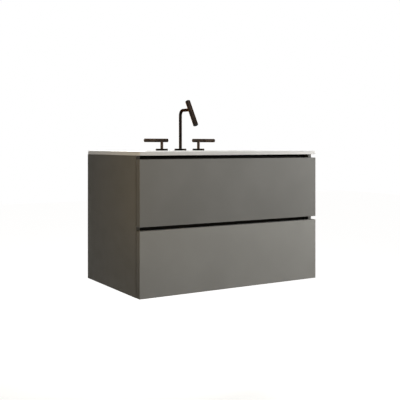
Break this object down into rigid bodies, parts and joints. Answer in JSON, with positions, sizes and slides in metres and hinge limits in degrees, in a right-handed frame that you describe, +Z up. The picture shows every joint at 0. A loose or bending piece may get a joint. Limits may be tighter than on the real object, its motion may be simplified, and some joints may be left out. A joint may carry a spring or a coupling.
{
  "type": "floating bathroom vanity",
  "caption": "Wall-hung vanity: handleless drawers under black grip channels, a thin worktop with a moulded basin, and a widespread tap with a slanted spout head.",
  "frame": {"origin": "on the wall, in the middle of the four wall fixings", "axes": "+X to the right seen from the front, -Y to the front, +Z up; y = 0 is the wall"},
  "size_m": [0.9, 0.536, 0.8241],
  "materials": {
    "grey_lacquer": "warm grey matt lacquer on board",
    "grey_board": "grey melamine-faced board",
    "drawer_board": "light grey melamine-faced board",
    "black_aluminium": "satin black anodised",
    "white_mineral": "satin white cast mineral composite",
    "dark_bronze": "brushed near-black bronze on brass",
    "zinc_plate": "bright zinc plate",
    "raw_brass": "turned brass",
    "black_rubber": "matt",
    "white_plastic": "satin moulded",
    "chrome_steel": "polished"
  },
  "bodies": {
    "cabinet": {"left_side_panel": "grey_lacquer", "right_side_panel": "grey_lacquer", "bottom_panel": "grey_board", "front_rail": "grey_board", "middle_rail": "grey_board", "back_top_rail": "grey_board", "back_low_rail": "grey_board", "top_grip_channel": "black_aluminium", "middle_grip_channel": "black_aluminium", "cam_locks": "zinc_plate", "cam_bolts": "zinc_plate", "wall_plates": "zinc_plate", "hanger_bodies": "zinc_plate", "hanger_hooks": "zinc_plate", "hanger_screws": "zinc_plate", "worktop_basin": "white_mineral", "upper_runner_rails": "zinc_plate", "lower_runner_rails": "zinc_plate", "spout_flange": "dark_bronze", "handle_flanges": "dark_bronze", "valve_bodies": "raw_brass", "spout_shank": "raw_brass", "rubber_washers": "black_rubber", "lock_nuts": "raw_brass", "waste_body": "dark_bronze", "waste_nut": "raw_brass", "slip_nuts": "white_plastic", "trap_body": "white_plastic", "trap_cup": "white_plastic", "outlet_pipe": "white_plastic", "overflow_ring": "dark_bronze"},
    "upper_drawer": {"upper_front": "grey_lacquer", "upper_box_front": "drawer_board", "upper_box_sides": "drawer_board", "upper_box_back": "drawer_board", "upper_box_floor": "drawer_board", "upper_pipe_guard": "drawer_board", "upper_runner_slides": "zinc_plate", "upper_front_screws": "zinc_plate", "upper_bumpers": "black_rubber"},
    "lower_drawer": {"lower_front": "grey_lacquer", "lower_box_front": "drawer_board", "lower_box_sides": "drawer_board", "lower_box_back": "drawer_board", "lower_box_floor": "drawer_board", "lower_runner_slides": "zinc_plate", "lower_front_screws": "zinc_plate", "lower_bumpers": "black_rubber"},
    "upper_middles": {"upper_runner_middles": "zinc_plate"},
    "lower_middles": {"lower_runner_middles": "zinc_plate"},
    "upper_outer_balls": {"upper_outer_cages": "raw_brass"},
    "upper_inner_balls": {"upper_inner_cages": "raw_brass"},
    "lower_outer_balls": {"lower_outer_cages": "raw_brass"},
    "lower_inner_balls": {"lower_inner_cages": "raw_brass"},
    "hot_lever": {"hot_handle": "dark_bronze"},
    "cold_lever": {"cold_handle": "dark_bronze"},
    "spout": {"spout_tube": "dark_bronze", "spout_head": "dark_bronze", "aerator": "chrome_steel"},
    "plug": {"waste_plug": "dark_bronze"}
  },
  "joints": [
    {"name": "upper_drawer_slide", "type": "slide", "parent": "cabinet", "child": "upper_drawer", "axis": [0, -1, 0], "range_m": [0, 0.43]},
    {"name": "upper_middles_slide", "type": "slide", "parent": "cabinet", "child": "upper_middles", "axis": [0, -1, 0], "range_m": [0, 0.215]},
    {"name": "upper_outer_balls_slide", "type": "slide", "parent": "cabinet", "child": "upper_outer_balls", "axis": [0, -1, 0], "range_m": [0, 0.1075]},
    {"name": "upper_inner_balls_slide", "type": "slide", "parent": "cabinet", "child": "upper_inner_balls", "axis": [0, -1, 0], "range_m": [0, 0.3225]},
    {"name": "lower_drawer_slide", "type": "slide", "parent": "cabinet", "child": "lower_drawer", "axis": [0, -1, 0], "range_m": [0, 0.43]},
    {"name": "lower_middles_slide", "type": "slide", "parent": "cabinet", "child": "lower_middles", "axis": [0, -1, 0], "range_m": [0, 0.215]},
    {"name": "lower_outer_balls_slide", "type": "slide", "parent": "cabinet", "child": "lower_outer_balls", "axis": [0, -1, 0], "range_m": [0, 0.1075]},
    {"name": "lower_inner_balls_slide", "type": "slide", "parent": "cabinet", "child": "lower_inner_balls", "axis": [0, -1, 0], "range_m": [0, 0.3225]},
    {"name": "hot_turn", "type": "hinge", "parent": "cabinet", "child": "hot_lever", "pos_m": [-0.1016, -0.068, 0.1325], "axis": [0, 0, 1], "range_deg": [0, 90]},
    {"name": "cold_turn", "type": "hinge", "parent": "cabinet", "child": "cold_lever", "pos_m": [0.1016, -0.068, 0.1325], "axis": [0, 0, 1], "range_deg": [-90, 0]},
    {"name": "spout_swivel", "type": "hinge", "parent": "cabinet", "child": "spout", "pos_m": [0, -0.068, 0.12], "axis": [0, 0, 1], "range_deg": [-60, 60]},
    {"name": "plug_lift", "type": "slide", "parent": "cabinet", "child": "plug", "axis": [0, 0, 1], "range_m": [0, 0.008]}
  ],
  "couplings": [
    {"joint": "upper_middles_slide", "follows": "upper_drawer_slide", "ratio": 0.5},
    {"joint": "upper_outer_balls_slide", "follows": "upper_drawer_slide", "ratio": 0.25},
    {"joint": "upper_inner_balls_slide", "follows": "upper_drawer_slide", "ratio": 0.75},
    {"joint": "lower_middles_slide", "follows": "lower_drawer_slide", "ratio": 0.5},
    {"joint": "lower_outer_balls_slide", "follows": "lower_drawer_slide", "ratio": 0.25},
    {"joint": "lower_inner_balls_slide", "follows": "lower_drawer_slide", "ratio": 0.75}
  ]
}
